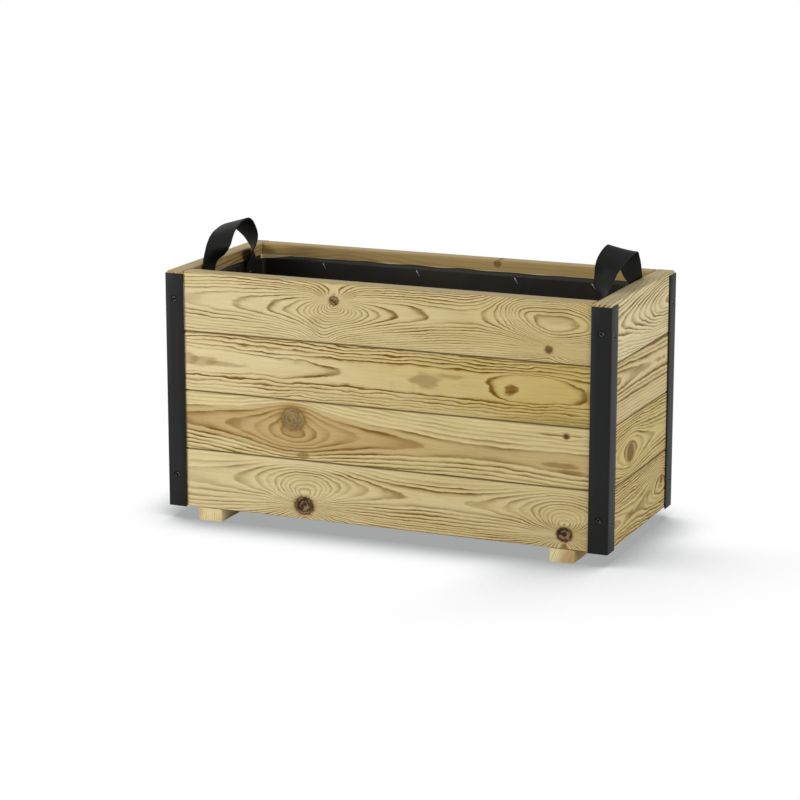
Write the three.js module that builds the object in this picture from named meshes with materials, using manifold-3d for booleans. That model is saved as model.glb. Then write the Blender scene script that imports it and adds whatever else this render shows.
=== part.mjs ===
// Rectangular planter: tongued pine boards, folded steel corner angles, two feet, a slatted floor,
// a film liner and a webbing handle at each end.
// Millimetres, +Z up. The origin is on the ground under the middle of the box, and the front faces -Y.
import * as THREE from 'three';
import { mergeVertices } from 'three/addons/utils/BufferGeometryUtils.js';
import Module from 'manifold-3d';

const wasm = await Module();
wasm.setup();

// Box, measured over the corner angles
const length = 700;
const depth = 300;

// Gap between pieces that sit on or in each other
const seat = 0.3;

// Wall boards: each covers boardFace of height, and its tongue fits the groove of the one above
const courses = 4;
const boardFace = 90;
const boardThickness = 28;
const boardEase = 2.5;
const tongueHeight = 6;
const tongueThickness = 8;

// Feet: battens that run from front to back
const footHeight = 20;
const footWidth = 38;
const footInset = 50;
const footScrewInset = 14;

// Floor slats, laid along the box on the feet
const slatCount = 3;
const slatThickness = 18;
const slatGap = 6;
const slatEnd = 2;

// Corner angles of folded sheet
const angleLeg = 30;
const angleSheet = 2;
const angleBend = 0.8;
const angleTopDrop = 4;
const angleOverhang = 1;

// Countersunk screws
const headRadius = 4.2;
const shankRadius = 2.1;
const pointLength = 6;
const headRecess = 0.2;
const holeClearance = 0.4;
const screwSpacing = 1.8;
const faceScrewLength = 35;
const endScrewLength = 60;
const footScrewLength = 45;
const slatScrewLength = 32;
const screwSides = 12;

// Liner of black film
const linerFilm = 1;
const linerDrop = 16;
const linerCorner = 8;

// Webbing handles: a flat tab on the end wall under each leg, and a loop that twists and arches over
const strapWidth = 38;
const strapThickness = 2;
const strapSpan = 142;
const strapRise = 58;
const strapLift = 1.5;
const strapStraight = 4;
const strapTwist = 24;
const tabLength = 50;
const twistSteps = 8;
const archSteps = 18;
const curveSteps = 4;

// Sizes that follow from the ones above
const rim = footHeight + courses * boardFace;
const woodX = length / 2 - angleSheet - seat;
const woodY = depth / 2 - angleSheet - seat;
const innerX = woodX - boardThickness;
const innerY = woodY - boardThickness;
const boardHeight = boardFace - seat;
const footX = length / 2 - footInset - footWidth / 2;
const flangeMiddle = angleLeg / 2;
const screwInset = flangeMiddle - angleSheet - seat;
const screwStagger = 2 * shankRadius + screwSpacing;
const slatWidth = (2 * innerY - (slatCount + 1) * slatGap) / slatCount;
const linerX = innerX - seat;
const linerY = innerY - seat;
const linerBottom = footHeight + slatThickness + seat;
const strapPlane = linerX - linerFilm - seat - strapThickness / 2;
const bendHeight = rim + strapLift + strapThickness / 2;

const pine = () => new THREE.MeshStandardMaterial({ color: '#d0be91', roughness: 0.75, metalness: 0 });
const coatedSteel = () => new THREE.MeshStandardMaterial({ color: '#2b2d2e', roughness: 0.5, metalness: 0.3 });
const blackScrew = () => new THREE.MeshStandardMaterial({ color: '#1f2020', roughness: 0.45, metalness: 0.6 });
const zincScrew = () => new THREE.MeshStandardMaterial({ color: '#b9b6a8', roughness: 0.4, metalness: 0.8 });
const film = () => new THREE.MeshStandardMaterial({ color: '#17150f', roughness: 0.6, metalness: 0 });
const webbing = () => new THREE.MeshStandardMaterial({ color: '#1d1e1d', roughness: 0.9, metalness: 0 });

function named(name, geometry, material) {
  const mesh = new THREE.Mesh(geometry, material);
  mesh.name = name;
  return mesh;
}

// Booleans
function toSolid(geometry) {
  const bare = geometry.clone();
  bare.deleteAttribute('normal');
  bare.deleteAttribute('uv');
  const merged = mergeVertices(bare);
  return new wasm.Manifold(new wasm.Mesh({
    numProp: 3,
    vertProperties: new Float32Array(merged.attributes.position.array),
    triVerts: new Uint32Array(merged.index.array),
  }));
}

function toGeometry(solid) {
  const mesh = solid.getMesh();
  const geometry = new THREE.BufferGeometry();
  geometry.setAttribute('position', new THREE.BufferAttribute(new Float32Array(mesh.vertProperties), 3));
  geometry.setIndex(new THREE.BufferAttribute(new Uint32Array(mesh.triVerts), 1));
  geometry.computeVertexNormals();
  return geometry;
}

function cut(geometry, cutters) {
  let solid = toSolid(geometry);
  for (const cutter of cutters) solid = solid.subtract(toSolid(cutter));
  return toGeometry(solid);
}

// Screws: turned about +Y with the head at the top, at the height of the surface that they sink into
const screwAxis = new THREE.Vector3(0, 1, 0);
const outwards = {
  front: new THREE.Vector3(0, -1, 0),
  back: new THREE.Vector3(0, 1, 0),
  right: new THREE.Vector3(1, 0, 0),
  left: new THREE.Vector3(-1, 0, 0),
  up: new THREE.Vector3(0, 0, 1),
  down: new THREE.Vector3(0, 0, -1),
};

function lathe(points) {
  return new THREE.LatheGeometry(points.map(([radius, y]) => new THREE.Vector2(radius, y)), screwSides);
}

function screwGeometry(screwLength) {
  const coneEnd = -headRecess - (headRadius - shankRadius);
  return lathe([
    [0, -screwLength],
    [shankRadius, pointLength - screwLength],
    [shankRadius, coneEnd],
    [headRadius, -headRecess],
    [0, -headRecess],
  ]);
}

function screwHole(screwLength) {
  const mouth = 1;
  const coneEnd = -headRecess - (headRadius - shankRadius);
  const shaft = shankRadius + holeClearance;
  return lathe([
    [0, -screwLength - seat],
    [shaft, -screwLength - seat],
    [shaft, coneEnd],
    [headRadius + headRecess + holeClearance + mouth, mouth],
    [0, mouth],
  ]);
}

function holeAt(screwLength, at, outward) {
  const turn = new THREE.Quaternion().setFromUnitVectors(screwAxis, outward);
  return screwHole(screwLength).applyQuaternion(turn).translate(at[0], at[1], at[2]);
}

function screwAt(name, screwLength, at, outward, material) {
  const mesh = named(name, screwGeometry(screwLength), material);
  mesh.quaternion.setFromUnitVectors(screwAxis, outward);
  mesh.position.set(at[0], at[1], at[2]);
  return mesh;
}

// Heights of the screws in the lowest and the highest course. The two flanges' screws pass each other.
const screwRows = [
  { label: 'low', course: 0 },
  { label: 'high', course: courses - 1 },
];
const boardMiddle = boardHeight / 2;
const courseBottom = (course) => footHeight + course * boardFace;
const flangeScrews = {
  face: { screwLength: faceScrewLength, lift: screwStagger / 2 },
  end: { screwLength: endScrewLength, lift: -screwStagger / 2 },
};

// Wall boards, in their own frame: X along, Y inward from the outer face, Z up from the lower edge
function boardProfile(grooved, tongued) {
  const middle = boardThickness / 2;
  const innerEdge = boardThickness - boardEase;
  const upperEdge = boardHeight - boardEase;
  const groove = tongueThickness / 2 + seat;
  const tongue = tongueThickness / 2;
  const profile = new THREE.Shape();
  profile.moveTo(boardEase, 0);
  if (grooved) {
    profile.lineTo(middle - groove, 0);
    profile.lineTo(middle - groove, tongueHeight);
    profile.lineTo(middle + groove, tongueHeight);
    profile.lineTo(middle + groove, 0);
  }
  profile.absarc(innerEdge, boardEase, boardEase, -Math.PI / 2, 0);
  profile.absarc(innerEdge, upperEdge, boardEase, 0, Math.PI / 2);
  if (tongued) {
    profile.lineTo(middle + tongue, boardHeight);
    profile.lineTo(middle + tongue, boardHeight + tongueHeight);
    profile.lineTo(middle - tongue, boardHeight + tongueHeight);
    profile.lineTo(middle - tongue, boardHeight);
  }
  profile.absarc(boardEase, upperEdge, boardEase, Math.PI / 2, Math.PI);
  profile.absarc(boardEase, boardEase, boardEase, Math.PI, Math.PI * 1.5);
  return profile;
}

function alongX(profile, span) {
  const geometry = new THREE.ExtrudeGeometry(profile, {
    depth: span,
    bevelEnabled: false,
    curveSegments: curveSteps,
  });
  const lie = new THREE.Matrix4().makeBasis(outwards.back, outwards.up, outwards.right);
  return geometry.translate(0, 0, -span / 2).applyMatrix4(lie);
}

function boardGeometry(span, course, holes) {
  return cut(alongX(boardProfile(course > 0, course < courses - 1), span), holes);
}

const isScrewed = (course) => screwRows.some((row) => row.course === course);

// The end screws go through the end boards into the ends of the long boards
function longBoard(course) {
  const { screwLength, lift } = flangeScrews.end;
  const holes = [];
  if (isScrewed(course)) {
    const height = boardMiddle + lift;
    holes.push(holeAt(screwLength, [length / 2, screwInset, height], outwards.right));
    holes.push(holeAt(screwLength, [-length / 2, screwInset, height], outwards.left));
  }
  if (course === 0) {
    for (const x of [-footX, footX]) {
      holes.push(holeAt(footScrewLength, [x, footScrewInset, -footHeight], outwards.down));
    }
  }
  return boardGeometry(2 * (innerX - seat), course, holes);
}

// The end boards run over the ends of the long boards, and take the face screws in their end grain
function endBoard(course) {
  const { face, end } = flangeScrews;
  const holes = [];
  if (isScrewed(course)) {
    const endY = -angleSheet - seat;
    const endX = depth / 2 - flangeMiddle;
    const faceHeight = boardMiddle + face.lift;
    const endHeight = boardMiddle + end.lift;
    for (const x of [-endX, endX]) {
      holes.push(holeAt(end.screwLength, [x, endY, endHeight], outwards.front));
    }
    holes.push(holeAt(face.screwLength, [depth / 2, screwInset, faceHeight], outwards.right));
    holes.push(holeAt(face.screwLength, [-depth / 2, screwInset, faceHeight], outwards.left));
  }
  return boardGeometry(2 * woodY, course, holes);
}

// Corner angle and its screws, in a frame at the outer corner: flanges along -X (front) and +Y (right)
function cornerAngle(frontScrew, sideScrew) {
  const outerBend = angleBend + angleSheet;
  const profile = new THREE.Shape();
  profile.moveTo(-angleLeg, 0);
  profile.absarc(-outerBend, outerBend, outerBend, -Math.PI / 2, 0);
  profile.lineTo(0, angleLeg);
  profile.lineTo(-angleSheet, angleLeg);
  profile.absarc(-outerBend, outerBend, angleBend, 0, -Math.PI / 2, true);
  profile.lineTo(-angleLeg, angleSheet);
  const bottom = footHeight - angleOverhang;
  const geometry = new THREE.ExtrudeGeometry(profile, {
    depth: rim - angleTopDrop - bottom,
    bevelEnabled: false,
    curveSegments: curveSteps,
  });
  const holes = [];
  for (const { course } of screwRows) {
    const height = courseBottom(course) + boardMiddle;
    holes.push(holeAt(frontScrew.screwLength, [-flangeMiddle, 0, height + frontScrew.lift], outwards.front));
    holes.push(holeAt(sideScrew.screwLength, [0, flangeMiddle, height + sideScrew.lift], outwards.right));
  }
  return cut(geometry.translate(0, 0, bottom), holes);
}

function corner(name, side, turn, frontKind, sideKind) {
  const frontScrew = flangeScrews[frontKind];
  const sideScrew = flangeScrews[sideKind];
  const group = new THREE.Group();
  group.position.set(side * length / 2, -depth / 2, 0);
  group.rotation.z = turn;
  group.add(named(`${name}_angle`, cornerAngle(frontScrew, sideScrew), coatedSteel()));
  for (const { label, course } of screwRows) {
    const height = courseBottom(course) + boardMiddle;
    const frontAt = [-flangeMiddle, 0, height + frontScrew.lift];
    const sideAt = [0, flangeMiddle, height + sideScrew.lift];
    const frontName = `${name}_${frontKind}_screw_${label}`;
    const sideName = `${name}_${sideKind}_screw_${label}`;
    group.add(screwAt(frontName, frontScrew.screwLength, frontAt, outwards.front, blackScrew()));
    group.add(screwAt(sideName, sideScrew.screwLength, sideAt, outwards.right, blackScrew()));
  }
  return group;
}

// Battens with eased edges, for the feet and the floor
function easedRectangle(width, height, ease) {
  const profile = new THREE.Shape();
  profile.absarc(width / 2 - ease, ease, ease, -Math.PI / 2, 0);
  profile.absarc(width / 2 - ease, height - ease, ease, 0, Math.PI / 2);
  profile.absarc(ease - width / 2, height - ease, ease, Math.PI / 2, Math.PI);
  profile.absarc(ease - width / 2, ease, ease, Math.PI, Math.PI * 1.5);
  return profile;
}

const slatRows = Array.from({ length: slatCount }, (_, row) => ({
  row,
  y: -innerY + slatGap + slatWidth / 2 + row * (slatWidth + slatGap),
}));
const slatTop = footHeight + slatThickness;
const footScrewY = woodY - footScrewInset;

// A foot stands across the box under the long walls, with its end grain flush with them
function footGeometry() {
  const bar = alongX(easedRectangle(footWidth, footHeight - seat, boardEase), 2 * woodY);
  const holes = [-footScrewY, footScrewY].map((y) => holeAt(footScrewLength, [0, y, 0], outwards.down));
  for (const { y } of slatRows) holes.push(holeAt(slatScrewLength, [0, y, slatTop], outwards.up));
  return cut(bar.rotateZ(Math.PI / 2), holes);
}

function slatGeometry() {
  const board = alongX(easedRectangle(slatWidth, slatThickness, boardEase), 2 * (innerX - slatEnd));
  return cut(board, [-footX, footX].map((x) => holeAt(slatScrewLength, [x, 0, slatThickness], outwards.up)));
}

// Liner: a film box, open at the top, that lines the walls and lies on the floor slats
function linerGeometry() {
  const block = (halfX, halfY, corner, bottom, top) => {
    const outline = new THREE.Shape();
    outline.absarc(halfX - corner, corner - halfY, corner, -Math.PI / 2, 0);
    outline.absarc(halfX - corner, halfY - corner, corner, 0, Math.PI / 2);
    outline.absarc(corner - halfX, halfY - corner, corner, Math.PI / 2, Math.PI);
    outline.absarc(corner - halfX, corner - halfY, corner, Math.PI, Math.PI * 1.5);
    const options = { depth: top - bottom, bevelEnabled: false, curveSegments: curveSteps };
    return new THREE.ExtrudeGeometry(outline, options).translate(0, 0, bottom);
  };
  const top = rim - linerDrop;
  const outside = block(linerX, linerY, linerCorner, linerBottom, top);
  const insideX = linerX - linerFilm;
  const insideY = linerY - linerFilm;
  const inside = block(insideX, insideY, linerCorner - linerFilm, linerBottom + linerFilm, top + linerDrop);
  return cut(outside, [inside]);
}

// Handle loop on the right end wall: stations along the strap, swept as flat sections.
// The rounded ends turn about the bend line. Each leg rises flat on the wall, twists inward by a quarter
// turn round its edge by the wall, and meets the arch.
function strapStations() {
  const half = strapWidth / 2;
  const radius = strapThickness / 2;
  const legY = strapSpan / 2;
  const archFoot = bendHeight + strapStraight + strapTwist;
  const archRise = rim + strapRise - radius - archFoot;
  const upright = new THREE.Vector3(0, 0, 1);
  const leg = [];
  const addLeg = (z, thickness, twist) => leg.push({
    centre: new THREE.Vector3(strapPlane - half * Math.sin(twist), -legY, z),
    across: new THREE.Vector3(-Math.sin(twist), Math.cos(twist), 0),
    along: upright,
    thickness,
  });
  for (const degrees of [75, 50, 25, 0]) {
    const angle = THREE.MathUtils.degToRad(degrees);
    addLeg(bendHeight - radius * Math.sin(angle), radius * Math.cos(angle), 0);
  }
  for (let step = 0; step <= twistSteps; step += 1) {
    const part = step / twistSteps;
    const twist = THREE.MathUtils.smoothstep(part, 0, 1) * Math.PI / 2;
    addLeg(bendHeight + strapStraight + part * strapTwist, radius, twist);
  }
  const arch = [];
  for (let step = 1; step < archSteps; step += 1) {
    const angle = step / archSteps * Math.PI;
    arch.push({
      centre: new THREE.Vector3(strapPlane - half, -legY * Math.cos(angle), archFoot + archRise * Math.sin(angle)),
      across: new THREE.Vector3(-1, 0, 0),
      along: new THREE.Vector3(0, legY * Math.sin(angle), archRise * Math.cos(angle)).normalize(),
      thickness: radius,
    });
  }
  const farLeg = leg.toReversed().map(({ centre, across, thickness }) => ({
    centre: new THREE.Vector3(centre.x, -centre.y, centre.z),
    across: new THREE.Vector3(across.x, -across.y, 0),
    along: upright.clone().negate(),
    thickness,
  }));
  return [...leg, ...arch, ...farLeg];
}

function strapLoop() {
  const stations = strapStations();
  const corners = [[-1, -1], [1, -1], [1, 1], [-1, 1]];
  const positions = [];
  for (const { centre, across, along, thickness } of stations) {
    const normal = along.clone().cross(across);
    for (const [side, face] of corners) {
      const point = centre.clone().addScaledVector(across, side * strapWidth / 2);
      positions.push(...point.addScaledVector(normal, face * thickness).toArray());
    }
  }
  const last = (stations.length - 1) * corners.length;
  const indices = [0, 2, 1, 0, 3, 2, last, last + 1, last + 2, last, last + 2, last + 3];
  for (let ring = 0; ring < stations.length - 1; ring += 1) {
    const lower = ring * corners.length;
    const upper = lower + corners.length;
    for (let edge = 0; edge < corners.length; edge += 1) {
      const next = (edge + 1) % corners.length;
      indices.push(lower + edge, lower + next, upper + next, lower + edge, upper + next, upper + edge);
    }
  }
  const geometry = new THREE.BufferGeometry();
  geometry.setAttribute('position', new THREE.Float32BufferAttribute(positions, 3));
  geometry.setIndex(indices);
  geometry.computeVertexNormals();
  return geometry;
}

function strapTab() {
  const profile = easedRectangle(strapWidth, tabLength, strapThickness);
  const options = { depth: strapThickness, bevelEnabled: false, curveSegments: curveSteps };
  const geometry = new THREE.ExtrudeGeometry(profile, options).translate(0, 0, -strapThickness / 2);
  return geometry.applyMatrix4(new THREE.Matrix4().makeBasis(outwards.back, outwards.up, outwards.right));
}

function handle(end, nearSide, farSide) {
  const group = new THREE.Group();
  group.add(named(`${end}_handle_loop`, strapLoop(), webbing()));
  const tabTop = bendHeight - strapThickness / 2 - seat;
  const tabs = [[nearSide, -strapSpan / 2], [farSide, strapSpan / 2]];
  for (const [side, y] of tabs) {
    const tab = named(`${end}_handle_${side}_tab`, strapTab(), webbing());
    tab.position.set(strapPlane, y, tabTop - tabLength);
    group.add(tab);
  }
  return group;
}

// Half of the planter: one long wall, one end wall, the corners and the foot and handle beside them.
// The other half is the same, turned about the middle.
function halfPlanter(side, farSide, end, farEnd, turn) {
  const group = new THREE.Group();
  group.rotation.z = turn;
  for (let course = 0; course < courses; course += 1) {
    const wall = named(`${side}_board_${course + 1}`, longBoard(course), pine());
    wall.position.set(0, -woodY, courseBottom(course));
    const endWall = named(`${end}_board_${course + 1}`, endBoard(course), pine());
    endWall.position.set(woodX, 0, courseBottom(course));
    endWall.rotation.z = Math.PI / 2;
    group.add(wall, endWall);
  }
  group.add(corner(`${side}_${end}`, 1, 0, 'face', 'end'));
  group.add(corner(`${side}_${farEnd}`, -1, -Math.PI / 2, 'end', 'face'));

  const foot = named(`${end}_foot`, footGeometry(), pine());
  foot.position.set(footX, 0, 0);
  group.add(foot);
  for (const [name, y] of [[side, -footScrewY], [farSide, footScrewY]]) {
    const at = [footX, y, 0];
    group.add(screwAt(`${end}_foot_${name}_screw`, footScrewLength, at, outwards.down, zincScrew()));
  }
  group.add(handle(end, side, farSide));
  return group;
}

function floor() {
  const group = new THREE.Group();
  for (const { row, y } of slatRows) {
    const slat = named(`floor_slat_${row + 1}`, slatGeometry(), pine());
    slat.position.set(0, y, footHeight);
    group.add(slat);
    for (const [end, x] of [['left', -footX], ['right', footX]]) {
      const name = `floor_slat_${row + 1}_${end}_screw`;
      group.add(screwAt(name, slatScrewLength, [x, y, slatTop], outwards.up, zincScrew()));
    }
  }
  return group;
}

const planter = new THREE.Group();
planter.add(halfPlanter('front', 'rear', 'right', 'left', 0));
planter.add(halfPlanter('rear', 'front', 'left', 'right', Math.PI));
planter.add(floor());
planter.add(named('liner', linerGeometry(), film()));

export default planter;
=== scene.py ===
"""Rectangular pine planter with folded steel corner angles, a film liner and two webbing handles."""
import math
import random

import bmesh
import bpy
from mathutils import Matrix, Vector, noise


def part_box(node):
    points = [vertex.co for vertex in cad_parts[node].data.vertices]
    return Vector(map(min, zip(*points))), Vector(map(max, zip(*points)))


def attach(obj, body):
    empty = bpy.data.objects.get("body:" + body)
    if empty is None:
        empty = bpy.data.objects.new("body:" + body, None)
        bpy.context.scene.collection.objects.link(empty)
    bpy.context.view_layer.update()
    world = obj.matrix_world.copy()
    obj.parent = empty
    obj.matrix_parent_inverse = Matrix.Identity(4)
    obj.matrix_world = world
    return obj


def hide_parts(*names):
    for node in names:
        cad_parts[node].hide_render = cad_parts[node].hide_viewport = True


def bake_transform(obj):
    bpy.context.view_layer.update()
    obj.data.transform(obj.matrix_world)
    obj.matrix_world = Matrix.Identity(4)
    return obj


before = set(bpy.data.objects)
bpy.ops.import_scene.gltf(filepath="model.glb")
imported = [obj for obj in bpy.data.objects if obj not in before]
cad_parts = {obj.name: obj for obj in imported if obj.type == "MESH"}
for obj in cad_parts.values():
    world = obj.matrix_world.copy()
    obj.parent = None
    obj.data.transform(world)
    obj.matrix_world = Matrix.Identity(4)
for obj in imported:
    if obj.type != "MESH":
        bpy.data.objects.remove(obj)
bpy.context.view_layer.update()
scene = bpy.context.scene

# Camera: a long lens to the right of the front and a little above the rim.
view_azimuth = math.radians(23.09)
view_elevation = math.radians(13.07)
view_distance = 4.058
view_target = Vector((-0.0335, 0.0, 0.1785))
sensor_width = 36.0
lens_length = 121.09


def add_object(name, data):
    """A new object in the scene."""
    added = bpy.data.objects.new(name, data)
    scene.collection.objects.link(added)
    return added


def aim(looker, place, target):
    """Puts a camera or a lamp at a place and turns it to look at a target."""
    looker.location = place
    looker.rotation_euler = (place - target).to_track_quat("Z", "Y").to_euler()


towards_camera = Vector((
    math.sin(view_azimuth) * math.cos(view_elevation),
    -math.cos(view_azimuth) * math.cos(view_elevation),
    math.sin(view_elevation),
))
camera = add_object("camera", bpy.data.cameras.new("camera"))
camera.data.sensor_width = sensor_width
camera.data.lens = lens_length
aim(camera, view_target + view_distance * towards_camera, view_target)
scene.camera = camera

# Wall boards: sixteen planed boards in four courses, grooved below and tongued above, so that they lock.
# The end boards run over the ends of the long ones. Pressure-treated pine: yellow sapwood with a green
# cast, brown latewood lines and knots, and machined edges that are eased and a little nicked.
edge_ease = 0.0025
end_ease = 0.0005
ease_steps = 4
fine_steps = 2
tongue_height = 0.006
tongue_thickness = 0.008
groove_clearance = 0.0003
nick_depth = 0.0005
nick_pitch = 0.009
board_step = 0.006
touching = 1e-6
millimetres = 1000.0
sapwood = "d3bf8e"
latewood = "74530a"
heartwood_tone = "b08d56"
green_cast = "bfa85f"
knot_dark = "2f1f15"
knot_halo = "957038"
joint_tone = "4a3617"
joint_edge = 0.2
joint_reach = 2.1
joint_share = 0.7
course_span = 700.0
left_end = (-320.0, -100.0)
cast_ends = (-320.0, 320.0)
facing_up = (0.5, 0.95)
facing_end = (0.6, 0.9)
core_reach = (3.0, 22.0)
ring_least = 0.55
ring_range = 0.5
slide_reach = 12.0
streak_tone = "7a5920"
# The rim's top: weathered grey and plain, and darkened with painted shade
top_grey_and_shade_tone = "a48f68"
top_grey_and_shade_share = 0.45
top_lines = 0.4
# Painted shade on the inner faces of the top boards, down to the film's edge
inside_shade_tone = "94703a"
inside_shade_share = 0.55
inside_shade_depth = (20.0, 27.0)
sheltered_depth = (24.0, 27.0)
sheltered_share = 0.85
sheltered_from = 0.7
sheltered_to = 0.2
sheltered_tone = "e6d6a8"
late_ramp = [(0.0, 0.0), (0.3, 0.06), (0.52, 0.35), (0.72, 0.85), (0.86, 1.0), (0.94, 0.75), (1.0, 0.0)]
# Core, marks and rim, the pitch of the rings, the halo's reach, and how strong marks, rim and cracks are
knot_kinds = {
    "live": ("a08a5c", "6e552c", "6a5028", 5.2, 1.7, 0.12, 0.5, 0.3),
    "brown": ("866b3b", "684f26", "684f26", 5.0, 1.8, 0.15, 0.3, 0.0),
    "dark": ("8f7450", "38261a", "332318", 7.0, 1.5, 0.35, 0.75, 0.9),
    "small": ("8a7048", "58422a", "523d28", 5.0, 1.7, 0.3, 0.6, 0.4),
}
knot_squash = 0.89
parting_squash = 0.6
knot_rough = 0.5
knot_from = 0.85
knot_to = 1.05
knot_swirl = 5.0
rim_place = 0.97
rim_width = 0.2
halo_share = 0.6
crack_width = 0.045
crack_depth = 1.2
course_count = 4
wall_turns = {"front": 0.0, "right": math.pi / 2, "rear": math.pi, "left": -math.pi / 2}


def linear(code):
    """A colour written as six sRGB hex digits, in linear red, green, blue and alpha."""
    channels = []
    for start in (0, 2, 4):
        value = int(code[start:start + 2], 16) / 255
        channels.append(value / 12.92 if value <= 0.04045 else ((value + 0.055) / 1.055) ** 2.4)
    return (*channels, 1.0)


class Value:
    """What a node gives out. A sum, product or power of it is a Math node in the same tree."""

    def __init__(self, socket):
        self.socket = socket
        self.tree = socket.id_data

    def __add__(self, other):
        return number("ADD", self, other)

    def __sub__(self, other):
        return number("SUBTRACT", self, other)

    def __mul__(self, other):
        return number("MULTIPLY", self, other)

    def __truediv__(self, other):
        return number("DIVIDE", self, other)

    def __pow__(self, other):
        return number("POWER", self, other)

    def __abs__(self):
        return number("ABSOLUTE", self)


def plug(node, inputs):
    """Sets a node's inputs to values, or links them to what other nodes give out."""
    for key, value in inputs.items():
        if isinstance(value, Value):
            value.tree.links.new(value.socket, node.inputs[key])
        else:
            node.inputs[key].default_value = value


def add_node(tree, kind, inputs, **settings):
    """A new node with its settings and inputs."""
    node = tree.nodes.new(kind)
    for key, value in settings.items():
        setattr(node, key, value)
    plug(node, inputs)
    return node


def given(tree, kind, inputs, output=0, **settings):
    """What one output of a new node gives out."""
    return Value(add_node(tree, kind, inputs, **settings).outputs[output])


def number(operation, *values):
    """The result of a Math node."""
    tree = next(value.tree for value in values if isinstance(value, Value))
    return given(tree, "ShaderNodeMath", dict(enumerate(values)), operation=operation)


def arrow(operation, *values):
    """The result of a Vector Math node: a number for DOT_PRODUCT, or else a vector."""
    output = "Value" if operation == "DOT_PRODUCT" else "Vector"
    inputs = dict(enumerate(values))
    return given(values[0].tree, "ShaderNodeVectorMath", inputs, output, operation=operation)


def parts_of(vector):
    """The three parts of a vector."""
    return [Value(part) for part in add_node(vector.tree, "ShaderNodeSeparateXYZ", {0: vector}).outputs]


def coordinates(tree, kind="Object"):
    """A point's place on its piece, or the Normal of the surface there."""
    return given(tree, "ShaderNodeTexCoord", {}, kind)


def cloud(point, stretch, seed, detail=2.0, roughness=0.5):
    """Noise from -0.5 to 0.5, with its own number of waves to a unit along each axis."""
    scaled = arrow("MULTIPLY", point, stretch)
    inputs = {"Vector": scaled, "W": seed, "Scale": 1.0, "Detail": detail, "Roughness": roughness}
    return given(point.tree, "ShaderNodeTexNoise", inputs, noise_dimensions="4D") - 0.5


def fade(value, low, high, at_low=0.0, at_high=1.0):
    """A smooth step of a value between two limits."""
    inputs = {"Value": value, 1: low, 2: high, 3: at_low, 4: at_high}
    return given(value.tree, "ShaderNodeMapRange", inputs, interpolation_type="SMOOTHSTEP")


def mixed(share, *tones):
    """One colour with a share of another mixed in. Each is hex digits or comes from a node."""
    first, second = (linear(tone) if isinstance(tone, str) else tone for tone in tones)
    return given(share.tree, "ShaderNodeMix", {0: share, 6: first, 7: second}, 2, data_type="RGBA")


def grey_ramp(value, stops):
    """A value read from a ramp of (place, brightness) stops."""
    node = add_node(value.tree, "ShaderNodeValToRGB", {0: value})
    ramp = node.color_ramp
    while len(ramp.elements) < len(stops):
        ramp.elements.new(0.5)
    for element, (place, brightness) in zip(ramp.elements, stops):
        element.position = place
        element.color = (brightness, brightness, brightness, 1.0)
    return Value(node.outputs[0])


def bump(height, strength, distance):
    """The surface's normal, tilted by a height."""
    inputs = {"Height": height, "Strength": strength, "Distance": distance}
    return given(height.tree, "ShaderNodeBump", inputs)


def new_material(name):
    """A material with nodes, its tree and its shader."""
    material = bpy.data.materials.new(name)
    material.use_nodes = True
    return material, material.node_tree, material.node_tree.nodes["Principled BSDF"]


def oval_reach(point, along, up, length, width, slant=0.0):
    """How far a point is from the middle of an oval, as a share of its half length and half width."""
    offset = arrow("SUBTRACT", point, (along, 0.0, up))
    lengthwise = arrow("DOT_PRODUCT", offset, (1 / length, 0.0, 0.0))
    crosswise = arrow("DOT_PRODUCT", offset, (slant / width, 0.0, 1 / width))
    return number("SQRT", lengthwise * lengthwise + crosswise * crosswise)


def heart_course(along, stops, ring):
    """How far the heart line is through its rings, by a smooth curve along the board."""
    most = max(rings for _, rings in stops)
    node = add_node(along.tree, "ShaderNodeFloatCurve", {"Value": along * (1 / course_span) + 0.5})
    points = node.mapping.curves[0].points
    places = [(place / course_span + 0.5, rings / most) for place, rings in stops]
    points[0].location, points[-1].location = places[0], places[-1]
    for place in places[1:-1]:
        points.new(*place)
    node.mapping.update()
    return Value(node.outputs[0]) * (most * ring)


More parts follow.
